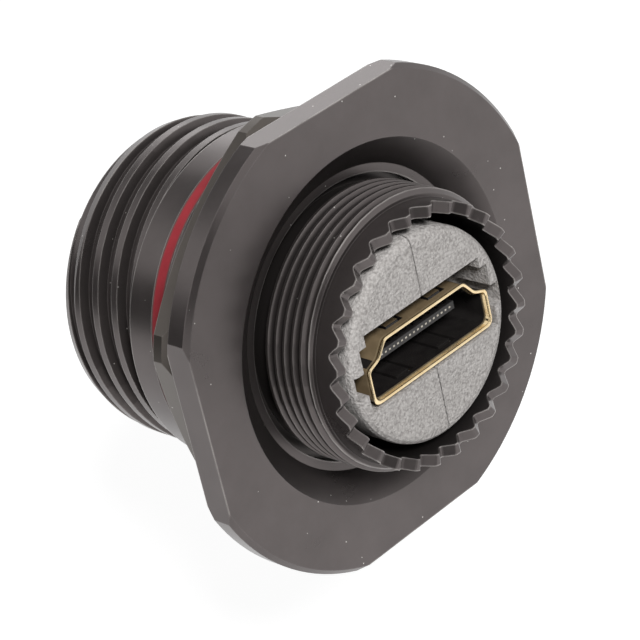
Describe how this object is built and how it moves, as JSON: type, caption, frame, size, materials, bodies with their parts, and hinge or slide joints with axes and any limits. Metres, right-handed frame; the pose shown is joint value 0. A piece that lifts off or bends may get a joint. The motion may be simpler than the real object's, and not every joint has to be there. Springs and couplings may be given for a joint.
{
  "type": "panel-mount video socket",
  "caption": "Round flanged panel connector with a jam nut, a coarse mating thread in front, a fine accessory thread behind and a D-shaped video socket in a split insert.",
  "frame": {"origin": "on the connector's axis, in the flange's mounting face", "axes": "+Y along the axis towards the mating thread, +Z towards the narrow side of both sockets, X along the sockets' long side"},
  "size_m": [0.0418, 0.0317, 0.0418],
  "materials": {
    "shell_anodise": "satin",
    "band_paint": "satin",
    "seal_rubber": "matt",
    "nut_anodise": "satin",
    "insert_polymer": "granular",
    "ring_steel": "satin",
    "board_laminate": "satin",
    "socket_plating": "gold plated",
    "socket_polymer": "satin",
    "contact_plating": "gold plated"
  },
  "bodies": {
    "receptacle": {"receptacle_shell": "shell_anodise", "mating_band": "band_paint", "panel_seal": "seal_rubber", "insert_half_left": "insert_polymer", "insert_half_right": "insert_polymer", "retaining_ring": "ring_steel", "coupler_board": "board_laminate", "rear_socket_shell": "socket_plating", "rear_socket_housing": "socket_polymer", "front_socket_shell": "socket_plating", "front_socket_housing": "socket_polymer", "rear_contact_01": "contact_plating", "rear_contact_02": "contact_plating", "rear_contact_03": "contact_plating", "rear_contact_04": "contact_plating", "rear_contact_05": "contact_plating", "rear_contact_06": "contact_plating", "rear_contact_07": "contact_plating", "rear_contact_08": "contact_plating", "rear_contact_09": "contact_plating", "rear_contact_10": "contact_plating", "rear_contact_11": "contact_plating", "rear_contact_12": "contact_plating", "rear_contact_13": "contact_plating", "rear_contact_14": "contact_plating", "rear_contact_15": "contact_plating", "rear_contact_16": "contact_plating", "rear_contact_17": "contact_plating", "rear_contact_18": "contact_plating", "rear_contact_19": "contact_plating", "front_contact_01": "contact_plating", "front_contact_02": "contact_plating", "front_contact_03": "contact_plating", "front_contact_04": "contact_plating", "front_contact_05": "contact_plating", "front_contact_06": "contact_plating", "front_contact_07": "contact_plating", "front_contact_08": "contact_plating", "front_contact_09": "contact_plating", "front_contact_10": "contact_plating", "front_contact_11": "contact_plating", "front_contact_12": "contact_plating", "front_contact_13": "contact_plating", "front_contact_14": "contact_plating", "front_contact_15": "contact_plating", "front_contact_16": "contact_plating", "front_contact_17": "contact_plating", "front_contact_18": "contact_plating", "front_contact_19": "contact_plating"},
    "nut": {"jam_nut": "nut_anodise"}
  },
  "joints": [
    {"name": "jam_nut_turn", "type": "hinge", "parent": "receptacle", "child": "nut", "pos_m": [0, 0.00345, 0], "axis": [0, 1, 0], "continuous": true}
  ]
}
